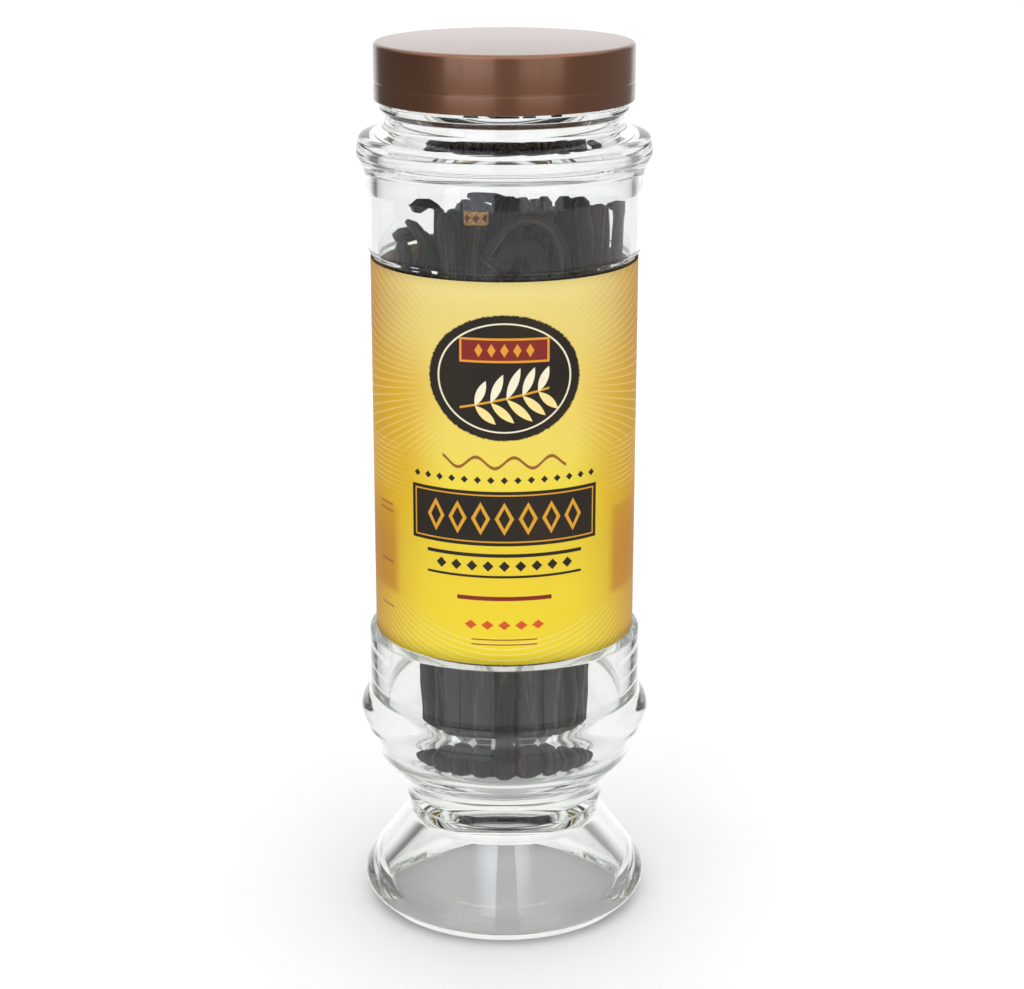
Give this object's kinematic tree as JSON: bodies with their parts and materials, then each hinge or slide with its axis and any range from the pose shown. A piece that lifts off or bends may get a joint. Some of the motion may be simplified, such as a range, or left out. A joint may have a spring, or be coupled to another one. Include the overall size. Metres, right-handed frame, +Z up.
{
  "type": "jar of vanilla pods",
  "caption": "Tall footed clear glass jar with a bronze metal lid and a wrapped paper label, holding a standing bundle of whole vanilla pods.",
  "frame": {"origin": "on the resting plane, under the middle of the jar's foot", "axes": "+Z up the jar's axis towards the lid, -Y towards the front of the label, +X to the right seen from the front"},
  "size_m": [0.0822, 0.0822, 0.2463],
  "materials": {
    "clear_glass": "clear, glossy",
    "bronze_metal": "satin bronze lacquer",
    "printed_paper": "semi-gloss print",
    "pod_skin": "oily, finely wrinkled",
    "raffia": "matt fibre"
  },
  "bodies": {
    "root": {"jar": "clear_glass", "lid": "bronze_metal", "label": "printed_paper", "pods": "pod_skin", "tie": "raffia"}
  },
  "joints": []
}
